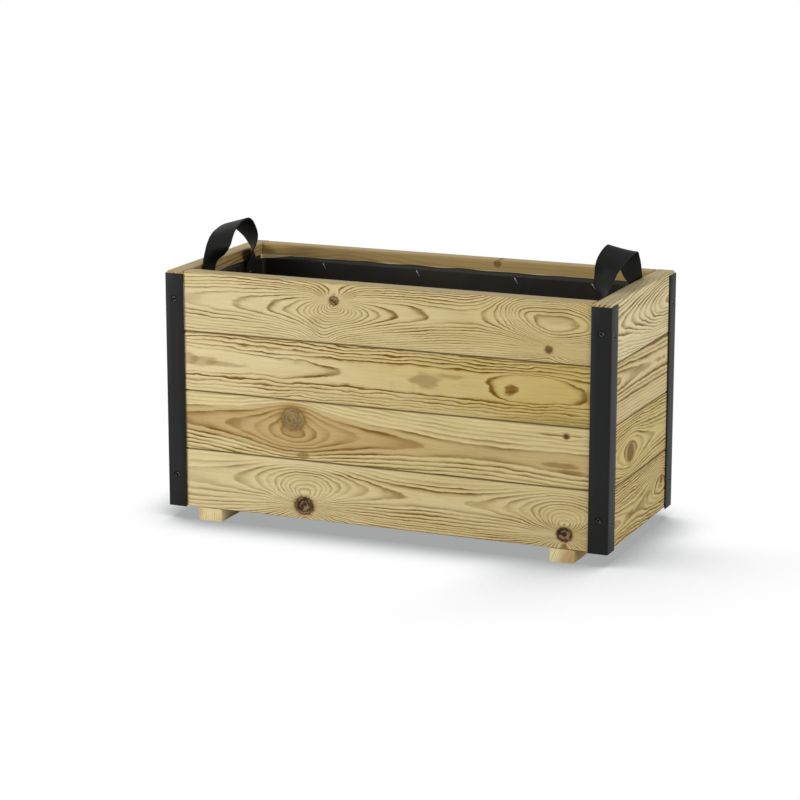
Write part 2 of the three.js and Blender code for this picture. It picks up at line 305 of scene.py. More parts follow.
def pine(name, turn, face, middle, figure, jointed=(False, False), half_height=0.0, shelter=None):
    """Pine for one board: a solid of growth rings round a heart in front of the face, with its own figure.

    The turn, the face's distance from the centre and the middle's height bring the grain to millimetres
    along the board, inward from its face and up from its middle. Jointed edges, below and above, are dark.
    The inside is darkened with painted brown shade down to the film's edge, whose height is the shelter,
    and pale below it.
    """
    material, tree, shader = new_material(name)
    seed = figure["seed"]
    normal = coordinates(tree, "Normal")
    upward = parts_of(normal)[2]
    point = given(tree, "ShaderNodeMapping", {
        "Vector": coordinates(tree),
        "Location": (0.0, face * millimetres, -middle * millimetres),
        "Rotation": (0.0, 0.0, -turn),
        "Scale": (millimetres, millimetres, millimetres),
    })
    place, into, level = parts_of(point)

    def fibres(lengthwise, crosswise, draw, *fineness):
        """Noise with its own number of waves to a millimetre along the board and across it."""
        return cloud(point, (lengthwise, crosswise, crosswise), seed + draw, *fineness)

    # The fibres wander, so the lines are wavy and a little ragged
    wave = fibres(0.028, 0.07, 4)
    drift = fibres(0.009, 0.03, 3) * figure["stir"] + wave * figure["wave"]
    drift = fibres(0.06, 0.3, 5, 4.0, 0.6) * figure["ragged"] + drift
    shift = given(tree, "ShaderNodeCombineXYZ", {0: wave * slide_reach, 2: drift})
    grain = arrow("ADD", point, shift)
    along, inward, straight = parts_of(grain)

    # The lines part round each knot
    up = straight
    for knot_along, knot_up, knot_radius, _ in figure["knots"]:
        reach = oval_reach(point, knot_along, knot_up, knot_radius / parting_squash, knot_radius)
        up -= (up - knot_up) / number("MAXIMUM", reach * reach, 1.0)

    # Distance from the heart, less the swells over eyes and the whirls that pinch the lines at knots
    side = up - (along * figure["tilt"] + figure["heart"])
    depth = inward + figure["pith"]
    beside = abs(side)
    beyond = number("MAXIMUM", beside - figure["flat"], 0.0)
    radius = number("SQRT", beyond * beyond + depth * depth) - figure["pith"]
    for *oval, swell_rise, swell_steep, swell_slant in figure["swells"]:
        reach = oval_reach(grain, *oval, swell_slant)
        radius -= number("DIVIDE", swell_rise, reach ** swell_steep + 1.0)
    for whirl_along, whirl_up, whirl_stretch, whirl_size, whirl_rise, whirl_core in figure["whirls"]:
        reach = oval_reach(grain, whirl_along, whirl_up, whirl_stretch, 1.0)
        over = (straight - whirl_up) * (whirl_size * whirl_rise)
        radius -= over / (reach * reach + whirl_core ** 2)
    if figure["course"]:
        radius += heart_course(along, figure["course"], figure["ring"])
    patches = fibres(0.035, 0.12, 6, 3.0)
    radius += patches * figure["patchy"]
    radius += cloud(radius, (0.1, 0.0, 0.0), seed + 25, 1.0) * figure["uneven"]

    # Rings: pale earlywood that darkens slowly to latewood and ends sharply, each of its own strength
    width = figure["ring"]
    if figure["spread"] > 1:
        width = fade(along, *left_end, width * figure["spread"], width)
    phase = radius / width
    ring = number("FLOOR", phase) + seed
    strength = given(tree, "ShaderNodeTexWhiteNoise", {"W": ring}, noise_dimensions="1D")
    strength = strength * ring_range + ring_least
    strength *= fade(fibres(0.009, 0.06, 13), -0.2, 0.2, 0.5, 1.35)
    *plain_reach, plain_share = figure["plain"]
    strength *= fade(side, *plain_reach, 1.0, plain_share)
    strength *= fade(beside, *core_reach, figure["core"], 1.0)
    strength *= fade(upward, *facing_up, 1.0, top_lines)
    strength *= fade(along, *left_end, 1 / figure["spread"], 1.0)
    late = grey_ramp(number("FRACT", phase), late_ramp) ** figure["fine"] * strength

    # Colour: sapwood, heartwood near the heart, latewood, fine fibres and a green cast in patches
    cast = fibres(0.006, 0.03, 7) * 0.7 + fade(place, *cast_ends, *figure["cast"])
    colour = mixed(cast, figure["tone"], green_cast)
    inner = fade(radius, figure["heartwood"] - 4, figure["heartwood"] + 4, figure["heart_mix"], 0.0)
    colour = mixed(inner, colour, figure["heart_tone"])
    colour = mixed(late * figure["contrast"], colour, latewood)
    fibre = fibres(0.02, 1.1, 9, 3.0, 0.6)
    band = fibres(0.01, 0.33, 10, 3.0, 0.6)
    colour = arrow("MULTIPLY", colour, fibre * 0.5 + band * 0.3 + 1.0)
    for *oval, streak_share in figure["streaks"]:
        reach = patches * 1.3 + oval_reach(grain, *oval)
        colour = mixed(fade(reach, 0.5, 1.0, streak_share, 0.0), colour, streak_tone)
    canals = fade(fibres(0.09, 2.4, 19, 1.0), 0.2, 0.32, 0.0, 0.3)
    colour = mixed(canals, colour, latewood)

    # Knots: a resinous halo, a dark rim of bark, and brown or black wood with its own rings and cracks
    rough_edge = fibres(0.25, 0.25, 11, 3.0)
    swirl = fibres(0.1, 0.1, 15)
    mottle = fade(fibres(0.07, 0.07, 17), -0.12, 0.12, -0.5, 0.5)
    split = abs(fibres(0.07, 0.07, 23, 1.5))
    height = late * 0.6 + fibre * 0.8
    for *spot, knot_radius, knot_kind in figure["knots"]:
        core, mark, rim_tone, pitch, halo_reach, mark_share, rim_share, crack_share = knot_kinds[knot_kind]
        reach = oval_reach(point, *spot, knot_radius / knot_squash, knot_radius)
        reach += rough_edge * knot_rough
        colour = mixed(fade(reach, 1.0, halo_reach, halo_share, 0.0), colour, knot_halo)
        rings = number("SINE", (swirl * knot_swirl + reach * knot_radius) * (2 * math.pi / pitch))
        marks = rings * mark_share + mottle * (2.0 * mark_share) + 0.4
        wood = mixed(fade(marks, 0.0, 1.0), core, mark)
        inside = fade(reach, knot_from, knot_to, 1.0, 0.0)
        cracks = fade(split, 0.0, crack_width, crack_share, 0.0) * inside
        colour = mixed(inside, colour, wood)
        colour = mixed(cracks, colour, knot_dark)
        rim = fade(abs(reach - rim_place), 0.0, rim_width, rim_share, 0.0)
        colour = mixed(rim, colour, rim_tone)
        height -= cracks * crack_depth

    # Joints hold dirt and painted shade, and end grain drinks more of the treatment, so both are darker
    half = half_height * millimetres
    for joined, way in zip(jointed, (-1.0, 1.0)):
        if joined:
            dirt_and_shade = fade(level * way, half - joint_reach, half - joint_edge, 0.0, joint_share)
            colour = mixed(dirt_and_shade, colour, joint_tone)
    endwise = abs(arrow("DOT_PRODUCT", normal, (math.cos(turn), math.sin(turn), 0.0)))
    colour = mixed(fade(endwise, *facing_end, 0.0, figure["end"]), colour, latewood)

    # The rim's top is worn grey and plain and darkened with painted shade, and the inside is darkened with
    # painted shade down to the film
    colour = mixed(fade(upward, *facing_up, 0.0, top_grey_and_shade_share), colour, top_grey_and_shade_tone)
    if shelter is not None:
        colour = mixed(fade(into, *inside_shade_depth, 0.0, inside_shade_share), colour, inside_shade_tone)
        under_film = fade(level, shelter - sheltered_from, shelter - sheltered_to, sheltered_share, 0.0)
        colour = mixed(under_film * fade(into, *sheltered_depth), colour, sheltered_tone)
    plug(shader, {
        "Base Color": colour, "Roughness": late * -0.1 + 0.62, "Specular IOR Level": 0.1,
        "Normal": bump(height, 0.25, 0.0006),
    })
    return material


# What is particular to a board, in millimetres from its middle
plain_figure = {
    "swells": (),  # rings that rise over an eye: along, up, half length, half width, rise, steepness, slant
    "knots": (),  # along, up, radius and kind
    "whirls": (),  # lines that a knot pinches: along, up, stretch, size, rise and core
    "course": (),  # the rings that the heart line passes through, by places along
    "streaks": (),  # resin: along, up, half length, half width and share
    "tilt": 0.0,  # of the heart line, along the board
    "flat": 0.0,  # how far from the heart the rings stay level
    "spread": 1.0,  # how much wider and softer the rings are at the left end
    "stir": 6.0,  # how far the lines wander, in long, short and ragged waves and in patches
    "wave": 4.0,
    "ragged": 2.0,
    "patchy": 1.5,
    "uneven": 6.0,  # how much the rings differ in width
    "heartwood": -90.0,  # how far from the heart the brown wood reaches, its share and its tone
    "heart_mix": 0.5,
    "heart_tone": heartwood_tone,
    "contrast": 1.0,  # of the lines, their share at the heart, and how fine they are
    "core": 0.6,
    "fine": 1.0,
    "plain": (0.0, 1.0, 1.0),  # from where to where beside the heart the lines fade, and to what share
    "tone": sapwood,
    "cast": (0.2, 0.2),  # share of the green cast, at the left and right ends
    "end": 0.35,  # how dark the end grain is
    "seed": 0.0,
}


def figure_of(heart, pith, ring, **particulars):
    """How a board was sawn: its heart line, the depth of the pith before its face, and its ring width."""
    return {**plain_figure, "heart": heart, "pith": pith, "ring": ring, **particulars}


def chance_figure(name, half_span):
    """A figure for a board that is sawn like the others, drawn from its own name."""
    draw = random.Random(name)
    heart = draw.uniform(-14, 14)
    knots, whirls = [], []
    places = (-0.55, 0.5) if half_span > 200 else draw.choice([(-0.5,), (0.5,)])
    for place in places:
        along = half_span * (place + draw.uniform(-0.3, 0.3))
        up = draw.uniform(-26, 26)
        radius = draw.uniform(4, 12)
        knots.append((along, up, radius, draw.choice(["live", "dark"])))
        whirls.append((along, up, 1.7, 2.2 * radius, math.copysign(30, heart - up), 0.95 * radius))
    return figure_of(heart, draw.uniform(20, 34), draw.uniform(3.2, 4.6), knots=knots, whirls=whirls,
                     tilt=draw.uniform(-0.03, 0.03), seed=draw.uniform(0, 50))


figures = {
    "front_board_4": figure_of(
        10, 13, 3.3, swells=[(264, 24, 80, 44, 32, 5, 0.25), (-92, -42, 24, 26, 15, 3, 0)],
        knots=[(-75, 19, 6.5, "dark"), (257, -26, 5, "small")],
        whirls=[(-75, 19, 1.9, 15, -30, 6.5), (257, -26, 1.6, 8, 26, 7)],
        course=[(-350, 4.7), (-300, 3.95), (-252, 3), (-198, 2), (-150, 1.05), (-75, 0.3), (-12, 1.05),
                (45, 1.95), (103, 2.95), (160, 3.4), (350, 3.4)],
        streaks=[(-105, -20, 16, 20, 0.15), (-98, 29, 14, 9, 0.22), (-50, 29, 14, 9, 0.2),
                 (266, 23, 30, 15, 0.16)],
        tilt=0.012, flat=5, spread=1.4, wave=5, uneven=4, plain=(-18, -34, 0.6), contrast=1.5,
        core=0.55, fine=2, tone="dac99e", cast=(0.2, 0.5), seed=2),
    "front_board_3": figure_of(
        3, 8, 4.6, swells=[(200, 2, 15, 10, 1.7, 5, 0), (-330, 3, 252, 19, 4.4, 14, 0),
                           (240, 3, 70, 22, 4.4, 11, 0.06)],
        course=[(-350, 2.25), (350, 2.25)],
        streaks=[(-316, 6, 24, 12, 0.42), (-290, 3, 30, 10, 0.4), (-250, 0, 42, 5, 0.42),
                 (67, 3, 30, 13, 0.5), (108, 11, 34, 5, 0.4), (322, 0, 22, 14, 0.5), (200, 2, 15, 10, 0.3),
                 (270, -40, 110, 10, 0.26)],
        flat=14, wave=9, stir=14, spread=1.2, plain=(-22, -38, 0.5), uneven=2, contrast=1.5,
        core=1.05, fine=1.4, tone="ddcb9e", cast=(0.15, 0.8), seed=11),
    "front_board_2": figure_of(
        -2, 25, 4.8, swells=[(-142, 9, 40, 24, 20, 1.6, 0)],
        knots=[(-142, 16.5, 17, "live"), (285, 31, 4, "small")], whirls=[(-142, 16.5, 1.3, 14, -10, 12)],
        course=[(-350, 2), (-320, 1.95), (-247, 1.59), (-200, 1.33), (-142, 1), (-88, 1.44),
                (-42, 1.63), (55, 2.15), (120, 2.6), (200, 2.58), (280, 2.2), (350, 2)],
        streaks=[(264, 31, 30, 1.8, 0.8), (296, 31.5, 18, 1.4, 0.6), (-127, -38, 14, 8, 0.6),
                 (276, -13, 34, 5, 0.6), (292, -20, 26, 4, 0.6)],
        tilt=-0.02, uneven=2, heartwood=12, heart_mix=0.65, plain=(14, 24, 0.45), contrast=1.05,
        tone="dccb9a", cast=(0.15, 0.3), seed=5),
    "front_board_1": figure_of(
        3, 30, 3.6, knots=[(-125, -24, 13.5, "dark"), (284, -23, 10.5, "dark")],
        whirls=[(-125, -24, 1.6, 30, 38, 13), (284, -23, 1.5, 26, 40, 11)], spread=1.7,
        plain=(20, 34, 0.3), contrast=1.1, core=0.5, tone="dbca9e", cast=(0.15, 0.4), seed=8),
    "right_board_4": figure_of(
        8, 24, 5, swells=[(130, 5, 150, 55, 52, 2, 0)], wave=6, ragged=1.5, stir=8,
        plain=(-14, -34, 0.5), contrast=1.2, tone="eee1b6", seed=14),
    "right_board_3": figure_of(
        16, 30, 4, swells=[(-130, 18, 60, 18, 6, 2.6, 0)], tilt=-0.02, plain=(-28, -40, 0.4),
        contrast=1.4, tone="e2d0a1", seed=17),
    "right_board_2": figure_of(
        -5, 22, 4, swells=[(-48, -7, 62, 30, 15.6, 2.2, 0)], knots=[(-47, -9, 12.5, "brown")], wave=6,
        contrast=1.35, tone="dcc88c", seed=21),
    "right_board_1": figure_of(
        -12, 26, 3.8, swells=[(100, 5, 50, 30, 24, 2, 0), (-120, -10, 60, 20, 8, 2.6, 0)],
        knots=[(103, 5, 6, "brown")], streaks=[(-5, -11, 52, 9, 0.4), (38, -3, 24, 5, 0.35)], wave=7,
        stir=10, patchy=3, contrast=1.55, tone="dac58c", seed=24),
    "rear_board_4": figure_of(
        -8, 30, 4.4, knots=[(-76, 40, 5, "dark"), (170, -12, 9, "live")],
        whirls=[(170, -12, 1.5, 18, 30, 9)], tilt=0.01, plain=(30, 42, 0.3), contrast=0.8,
        tone="d0b986", seed=37),
}


def mesh_of(name, bm):
    """The mesh that a finished bmesh holds."""
    mesh = bpy.data.meshes.new(name)
    bm.to_mesh(mesh)
    bm.free()
    return mesh


def smooth_object(name, mesh, material, sharp):
    """An object of one material that is smooth but for its sharp edges."""
    mesh.materials.append(material)
    mesh.shade_smooth()
    mesh.set_sharp_from_angle(angle=math.radians(sharp))
    return add_object(name, mesh)


def add_piece(name, bm, material, nodes, sharp=35.0):
    """Makes the mesh a piece that rides on the planter and stands for its nodes."""
    piece = smooth_object(name, mesh_of(name, bm), material, sharp)
    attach(piece, "planter")
    if nodes:
        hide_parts(*nodes)
    return piece


def extruded(outline, start, end):
    """A prism along X over an outline of (Y, Z) points."""
    bm = bmesh.new()
    cap = bm.faces.new([bm.verts.new((start, y, z)) for y, z in outline])
    grown = bmesh.ops.extrude_face_region(bm, geom=[cap])
    moved = [part for part in grown["geom"] if isinstance(part, bmesh.types.BMVert)]
    bmesh.ops.translate(bm, verts=moved, vec=(end - start, 0, 0))
    bmesh.ops.recalc_face_normals(bm, faces=bm.faces)
    return bm


def runs_lengthwise(edge):
    """Whether an edge runs along X."""
    run = edge.verts[1].co - edge.verts[0].co
    return abs(run.x) > 0.99 * run.length


def ease_edges(bm, edges, offset, segments):
    """Rounds over the edges."""
    bmesh.ops.bevel(bm, geom=edges, offset=offset, segments=segments, profile=0.5, affect="EDGES",
                    material=-1, clamp_overlap=True)


def move(bm, place):
    """Moves the whole mesh by a matrix."""
    bmesh.ops.transform(bm, matrix=place, verts=bm.verts)


def board_shape(span, thickness, height, grooved, tongued, seed):
    """A board along X, with its face at Y 0 and its lower edge at Z 0."""
    middle = thickness / 2
    groove = tongue_thickness / 2 + groove_clearance
    tongue = tongue_thickness / 2
    outline = [(0, 0)]
    if grooved:
        outline += [(middle - groove, 0), (middle - groove, tongue_height)]
        outline += [(middle + groove, tongue_height), (middle + groove, 0)]
    outline += [(thickness, 0), (thickness, height)]
    if tongued:
        outline += [(middle + tongue, height), (middle + tongue, height + tongue_height)]
        outline += [(middle - tongue, height + tongue_height), (middle - tongue, height)]
    outline.append((0, height))
    bm = extruded(outline, -span / 2, span / 2)
    corners = [Vector((y, z)) for y in (0, thickness) for z in (0, height)]
    arrises = [edge for edge in bm.edges if runs_lengthwise(edge)
               and min((edge.verts[0].co.yz - corner).length for corner in corners) < touching]
    ease_edges(bm, arrises, edge_ease, ease_steps)
    ease_edges(bm, [edge for edge in bm.edges if not runs_lengthwise(edge)], end_ease, fine_steps)
    long_edges = [edge for edge in bm.edges if runs_lengthwise(edge) and edge.calc_length() > span / 2]
    bmesh.ops.subdivide_edges(bm, edges=long_edges, cuts=int(span / board_step), use_grid_fill=True)
    for vert in bm.verts:
        to_edge = min((vert.co.yz - corner).length for corner in corners)
        if to_edge < edge_ease:
            dent = noise.noise(Vector((vert.co.x / nick_pitch, vert.co.z / nick_pitch, seed)))
            inner = Vector((vert.co.x, middle, min(max(vert.co.z, edge_ease), height - edge_ease)))
            vert.co += (inner - vert.co).normalized() * nick_depth * max(dent, 0.0)
    return bm


top_low, top_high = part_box(f"front_board_{course_count}")
board_height = top_high.z - top_low.z
for side, turn in wall_turns.items():
    run, depth = (1, 0) if side in ("right", "left") else (0, 1)
    for course in range(1, course_count + 1):
        name = f"{side}_board_{course}"
        low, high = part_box(name)
        span = high[run] - low[run]
        face = max(abs(low[depth]), abs(high[depth]))
        figure = figures.get(name) or chance_figure(name, span * millimetres / 2)
        jointed = (course > 1, course < course_count)
        bm = board_shape(span, high[depth] - low[depth], board_height, *jointed, figure["seed"])
        move(bm, Matrix.Rotation(turn, 4, "Z") @ Matrix.Translation((0, -face, low.z)))
        middle = low.z + board_height / 2
        film_edge = (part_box("liner")[1].z - middle) * millimetres
        shelter = film_edge if course == course_count else None
        wood = pine(f"pine_{name}", turn, face, middle, figure, jointed, board_height / 2, shelter)
        add_piece(f"{name}_planed", bm, wood, [name])

# Corner angles: four lengths of steel sheet, folded square with a small radius, drilled and countersunk for
# two screws in each flange, and powder coated in satin anthracite. They hold the walls together.
sheet_thickness = 0.002
fold_outside = 0.0028
fold_inside = 0.0008
fold_steps = 6
square_angle = math.radians(60)
sheet_ease = 0.0003
countersink_mouth = 0.0054
countersink_reach = 0.001
countersink_depth = 0.0023
hole_sides = 40
coat_tone = "1c1e1c"
coat_worn = "2d2f2f"
upright = Matrix(((0, 1, 0, 0), (0, 0, 1, 0), (1, 0, 0, 0), (0, 0, 0, 1)))
corner_turns = {
    "front_right": 0.0, "rear_right": math.pi / 2, "rear_left": math.pi, "front_left": -math.pi / 2,
}
flange_screws = [f"{kind}_screw_{row}" for kind in ("face", "end") for row in ("low", "high")]


def head_place(node, way=0.0):
    """The middle of a screw's head, the way that it faces and its length, from its node's box.

    It faces outward, or up or down where that is given.
    """
    low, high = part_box(node)
    size = high - low
    axis = max(range(3), key=lambda index: size[index])
    outward = Vector((0, 0, 0))
    outward[axis] = way or math.copysign(1.0, low[axis] + high[axis])
    head = (low + high) / 2
    head[axis] = high[axis] if outward[axis] > 0 else low[axis]
    return head, outward, size[axis]


def facing(place, outward):
    """The matrix that brings a piece made about +Z to a place and turns it to face outward."""
    return Matrix.Translation(place) @ outward.to_track_quat("Z", "Y").to_matrix().to_4x4()


def drilled(bm, cutter):
    """The mesh with the cutter's shapes cut out of it."""
    parts = [add_object("cutting", mesh_of("cutting", shape)) for shape in (bm, cutter)]
    modifier = parts[0].modifiers.new("holes", "BOOLEAN")
    modifier.operation = "DIFFERENCE"
    modifier.solver = "EXACT"
    modifier.object = parts[1]
    bpy.context.view_layer.update()
    result = bmesh.new()
    result.from_object(parts[0], bpy.context.evaluated_depsgraph_get())
    for part in parts:
        bpy.data.meshes.remove(part.data)
    return result


def powder_coat():
    """Satin coating: near black, with the fine orange peel and faint clouds of a sprayed powder."""
    material, tree, shader = new_material("anthracite_coat")
    point = coordinates(tree)
    clouds = fade(cloud(point, (14.0, 14.0, 5.0), 3.0, 3.0), -0.25, 0.3)
    speckle = fade(cloud(point, (900.0, 900.0, 900.0), 1.0, 1.0), 0.1, 0.35, 0.0, 0.5)
    colour = mixed(clouds * 0.35, coat_tone, coat_worn)
    peel = cloud(point, (420.0, 420.0, 420.0), 7.0)
    plug(shader, {
        "Base Color": mixed(speckle, colour, coat_worn), "Roughness": clouds * 0.08 + 0.44,
        "Specular IOR Level": 0.1, "Normal": bump(peel, 0.12, 0.0004),
    })
    return material


coat = powder_coat()
for corner, turn in corner_turns.items():
    name = f"{corner}_angle"
    low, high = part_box(name)
    leg = high.x - low.x
    sheet = sheet_thickness
    outline = [(-leg, 0), (0, 0), (0, leg), (-sheet, leg), (-sheet, sheet), (-leg, sheet)]
    bm = extruded(outline, low.z, high.z)
    folds = {fold_outside: Vector((0, 0)), fold_inside: Vector((-sheet, sheet))}
    for radius, corner_point in folds.items():
        fold = [edge for edge in bm.edges if runs_lengthwise(edge)
                and (edge.verts[0].co.yz - corner_point).length < touching]
        ease_edges(bm, fold, radius, fold_steps)
    square = [edge for edge in bm.edges if edge.calc_face_angle() > square_angle]
    ease_edges(bm, square, sheet_ease, fine_steps)
    outer = Vector((high.x if high.x > 0 else low.x, high.y if high.y > 0 else low.y, 0))
    move(bm, Matrix.Translation(outer) @ Matrix.Rotation(turn, 4, "Z") @ upright)
    cutter = bmesh.new()
    for screw in flange_screws:
        head, outward, _ = head_place(f"{corner}_{screw}")
        head += outward * (abs(outer.dot(outward)) - head.dot(outward))
        cone_middle = (countersink_reach - countersink_depth) / 2
        bmesh.ops.create_cone(
            cutter, cap_ends=True, segments=hole_sides, depth=countersink_reach + countersink_depth,
            radius1=countersink_mouth - countersink_depth, radius2=countersink_mouth + countersink_reach,
            matrix=facing(head + outward * cone_middle, outward))
    add_piece(f"{name}_coated", drilled(bm, cutter), coat, [name])

# Angle screws: sixteen countersunk wood screws with a six-lobed recess, blackened, driven through the
# flanges into the boards behind them. Their heads carry painted glints.
head_radius = 0.0050
head_edge = 0.0003
shank_radius = 0.0021
recess_radius = 0.0022
recess_depth = 0.0019
recess_lobes = 6
lobe_share = 0.17
dish_depth = 0.00025
point_length = 0.006
thread_pitch = 0.0022
thread_height = 0.0006
thread_start = 0.35
turn_steps = 24
# The pale rubbed face of a blackened head is wear from the bit and a painted glint
bit_reach = 1.1
ring_wear_and_glint = 0.3
bare_metal = 0.9
bit_wear_and_glint = 0.36
wear_and_glint_limits = (0.15, 0.6)
wear_and_glint_most = 0.9
black_tone = "050505"
black_worn_and_glint = "80807c"


def screw_shape(length):
    """A screw about +Z with its head at Z 0: a turned body with a lobed recess, and a helical thread."""
    bm = bmesh.new()
    cone = head_radius - shank_radius
    profile = [
        (0, -recess_depth), (recess_radius, -recess_depth), (recess_radius, -dish_depth),
        (head_radius - head_edge, 0), (head_radius, -head_edge), (shank_radius, -cone - head_edge),
        (shank_radius, point_length - length), (0, -length),
    ]
    verts = [bm.verts.new((radius, 0, z)) for radius, z in profile]
    line = [bm.edges.new(pair) for pair in zip(verts, verts[1:])]
    bmesh.ops.spin(bm, geom=verts + line, cent=(0, 0, 0), axis=(0, 0, 1), angle=2 * math.pi,
                   steps=turn_steps, use_merge=True)
    bmesh.ops.remove_doubles(bm, verts=bm.verts, dist=1e-7)
    driven = bm.verts.layers.float.new("driven")
    # Marks the face of the head for wear and a painted glint: most round the recess, less out to the edge
    for vert in bm.verts:
        flat = vert.co.xy
        if vert.co.z > -2 * dish_depth:
            vert[driven] = 1.0 if flat.length < bit_reach * recess_radius else ring_wear_and_glint
        if abs(flat.length - recess_radius) < touching:
            lobe = 1 + lobe_share * math.cos(recess_lobes * math.atan2(flat.y, flat.x))
            vert.co.xy = flat * lobe
    bmesh.ops.recalc_face_normals(bm, faces=bm.faces)
    top = -thread_start * length
    turns = int((length - point_length + top) / thread_pitch)
    foot = shank_radius - thread_height / 2
    ridge = [(foot, -thread_pitch / 4), (shank_radius + thread_height, 0), (foot, thread_pitch / 4)]
    verts = [bm.verts.new((radius, 0, top + z)) for radius, z in ridge]
    line = [bm.edges.new((verts[index - 1], verts[index])) for index in range(3)]
    steps = turns * turn_steps // 2
    swept = bmesh.ops.spin(bm, geom=verts + line, cent=(0, 0, 0), axis=(0, 0, 1), angle=2 * math.pi * turns,
                           dvec=(0, 0, -turns * thread_pitch / steps), steps=steps)
    last = [part for part in swept["geom_last"] if isinstance(part, bmesh.types.BMVert)]
    ends = [bm.faces.new(verts), bm.faces.new(last)]
    thread = {vert for vert in bm.verts if abs(vert.co.xy.length - foot) < 10 * touching}
    faces = {face for vert in thread for face in vert.link_faces}
    bmesh.ops.recalc_face_normals(bm, faces=list(faces | set(ends)))
    return bm


def screw_finish(name, tone, worn, metal):
    """Plated or blackened steel rubbed in patches; a black head's pale face is bit wear and a painted
    glint.
    """
    material, tree, shader = new_material(name)
    driven = given(tree, "ShaderNodeAttribute", {}, "Fac", attribute_name="driven")
    patches = cloud(coordinates(tree), (380.0, 380.0, 380.0), 2.0, 3.0)
    rubbed_and_glinting = fade(driven * bit_wear_and_glint + patches, *wear_and_glint_limits, 0.0, wear_and_glint_most)
    plug(shader, {
        "Base Color": mixed(rubbed_and_glinting, tone, worn), "Roughness": rubbed_and_glinting * -0.1 + 0.42,
        "Metallic": metal if metal == bare_metal else rubbed_and_glinting * (bare_metal - metal) + metal,
        "Specular IOR Level": 0.1,
    })
    return material


def add_screw(node, material, way=0.0):
    """Drives a screw where its node is."""
    head, outward, length = head_place(node, way)
    bm = screw_shape(length)
    move(bm, facing(head, outward))
    add_piece(f"{node}_turned", bm, material, [node])


# Blackened screws: the pale patches on their heads are wear and a painted glint
black = screw_finish("black_screw_finish", black_tone, black_worn_and_glint, 0.0)
for corner in corner_turns:
    for screw in flange_screws:
        add_screw(f"{corner}_{screw}", black)

# Feet: two sawn battens that run from front to back under the long walls, with their end grain showing at
# the front. Each is screwed up into both walls.
foot_figures = {
    "left_foot": figure_of(3, -60, 3.4, heartwood=88, heart_mix=0.7, heart_tone="c69c6c", stir=3.0,
                           contrast=0.5, tone="e8d8a8", end=0.04, seed=31.0),
    "right_foot": figure_of(-16, 12, 3.0, heartwood=24, heart_mix=0.75, heart_tone="bd976a", stir=6.0,
                            contrast=0.5, tone="eaddae", end=0.04, seed=34.0),
}


def batten(node, turn, figure):
    """An eased batten that stands for a node and runs along X, or along Y after a quarter turn."""
    low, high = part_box(node)
    middle = (low + high) / 2
    size = high - low
    run, width = (size.y, size.x) if turn else (size.x, size.y)
    half, tall = width / 2, size.z / 2
    outline = [(-half, -tall), (half, -tall), (half, tall), (-half, tall)]
    bm = extruded(outline, -run / 2, run / 2)
    ease_edges(bm, [edge for edge in bm.edges if runs_lengthwise(edge)], edge_ease, ease_steps)
    ease_edges(bm, [edge for edge in bm.edges if not runs_lengthwise(edge)], end_ease, fine_steps)
    move(bm, Matrix.Translation(middle) @ Matrix.Rotation(turn, 4, "Z"))
    face = (middle.x if turn else -middle.y) + half
    wood = pine(f"pine_{node}", turn, face, middle.z, figure)
    add_piece(f"{node}_sawn", bm, wood, [node])


for foot, figure in foot_figures.items():
    batten(foot, math.pi / 2, figure)

# Floor slats: three thin boards that lie along the box on the feet, with gaps for water, and carry the
# soil. Zinc-plated screws hold them to the feet from above, and the feet to the walls from below.
slat_count = 3
slat_reach = 300.0
zinc_tone = "b3b0a4"
zinc_worn = "8c887a"
slats = [f"floor_slat_{row}" for row in range(1, slat_count + 1)]
for slat in slats:
    clear = {**chance_figure(slat, slat_reach), "knots": (), "whirls": ()}
    batten(slat, 0.0, clear)
zinc = screw_finish("zinc_screw_finish", zinc_tone, zinc_worn, bare_metal)
for slat in slats:
    for end in ("left", "right"):
        add_screw(f"{slat}_{end}_screw", zinc, 1.0)
for end in ("left", "right"):
    for side in ("front", "rear"):
        add_screw(f"{end}_foot_{side}_screw", zinc, -1.0)

# Liner: black film, cut as a cross, welded at its corners and dropped into the box. It lies on the floor
# slats, hangs a little slack and creased against the walls, and is stapled below the rim.
film_thickness = 0.0004
film_step = 0.008
film_corner = 0.007
film_tone = "19150a"
film_dusty = "2f2817"
slack_depth = 0.0035
slack_reach = 0.12
taut_height = 0.035
settled_height = 0.03
settled_share = 0.15
crease_rate = 14.0
crease_layers = (1.0, 2.0, 4)
crease_lift = 0.4
ripple_rate = 30
ripple_rise = 6
ripple_share = 0.5
edge_wave = 0.0012
edge_rate = 25.0
edge_drop = 0.0008
dip_depth = 0.006
dip_length = 0.045


def film():
    """Matte black film with dust in its creases and a faint pressed grain."""
    material, tree, shader = new_material("black_film")
    point = coordinates(tree)
    dust = fade(cloud(point, (9.0, 9.0, 16.0), 4.0, 4.0), 0.0, 0.35, 0.0, 0.8)
    grain = cloud(point, (700.0, 700.0, 700.0), 6.0, 1.0)
    crease = cloud(point, (40.0, 40.0, 22.0), 8.0, 4.0, 0.6)
    plug(shader, {
        "Base Color": mixed(dust, film_tone, film_dusty), "Roughness": dust * 0.25 + 0.5,
        "Specular IOR Level": 0.3, "Normal": bump(grain * 0.25 + crease, 0.35, 0.002),
    })
    return material


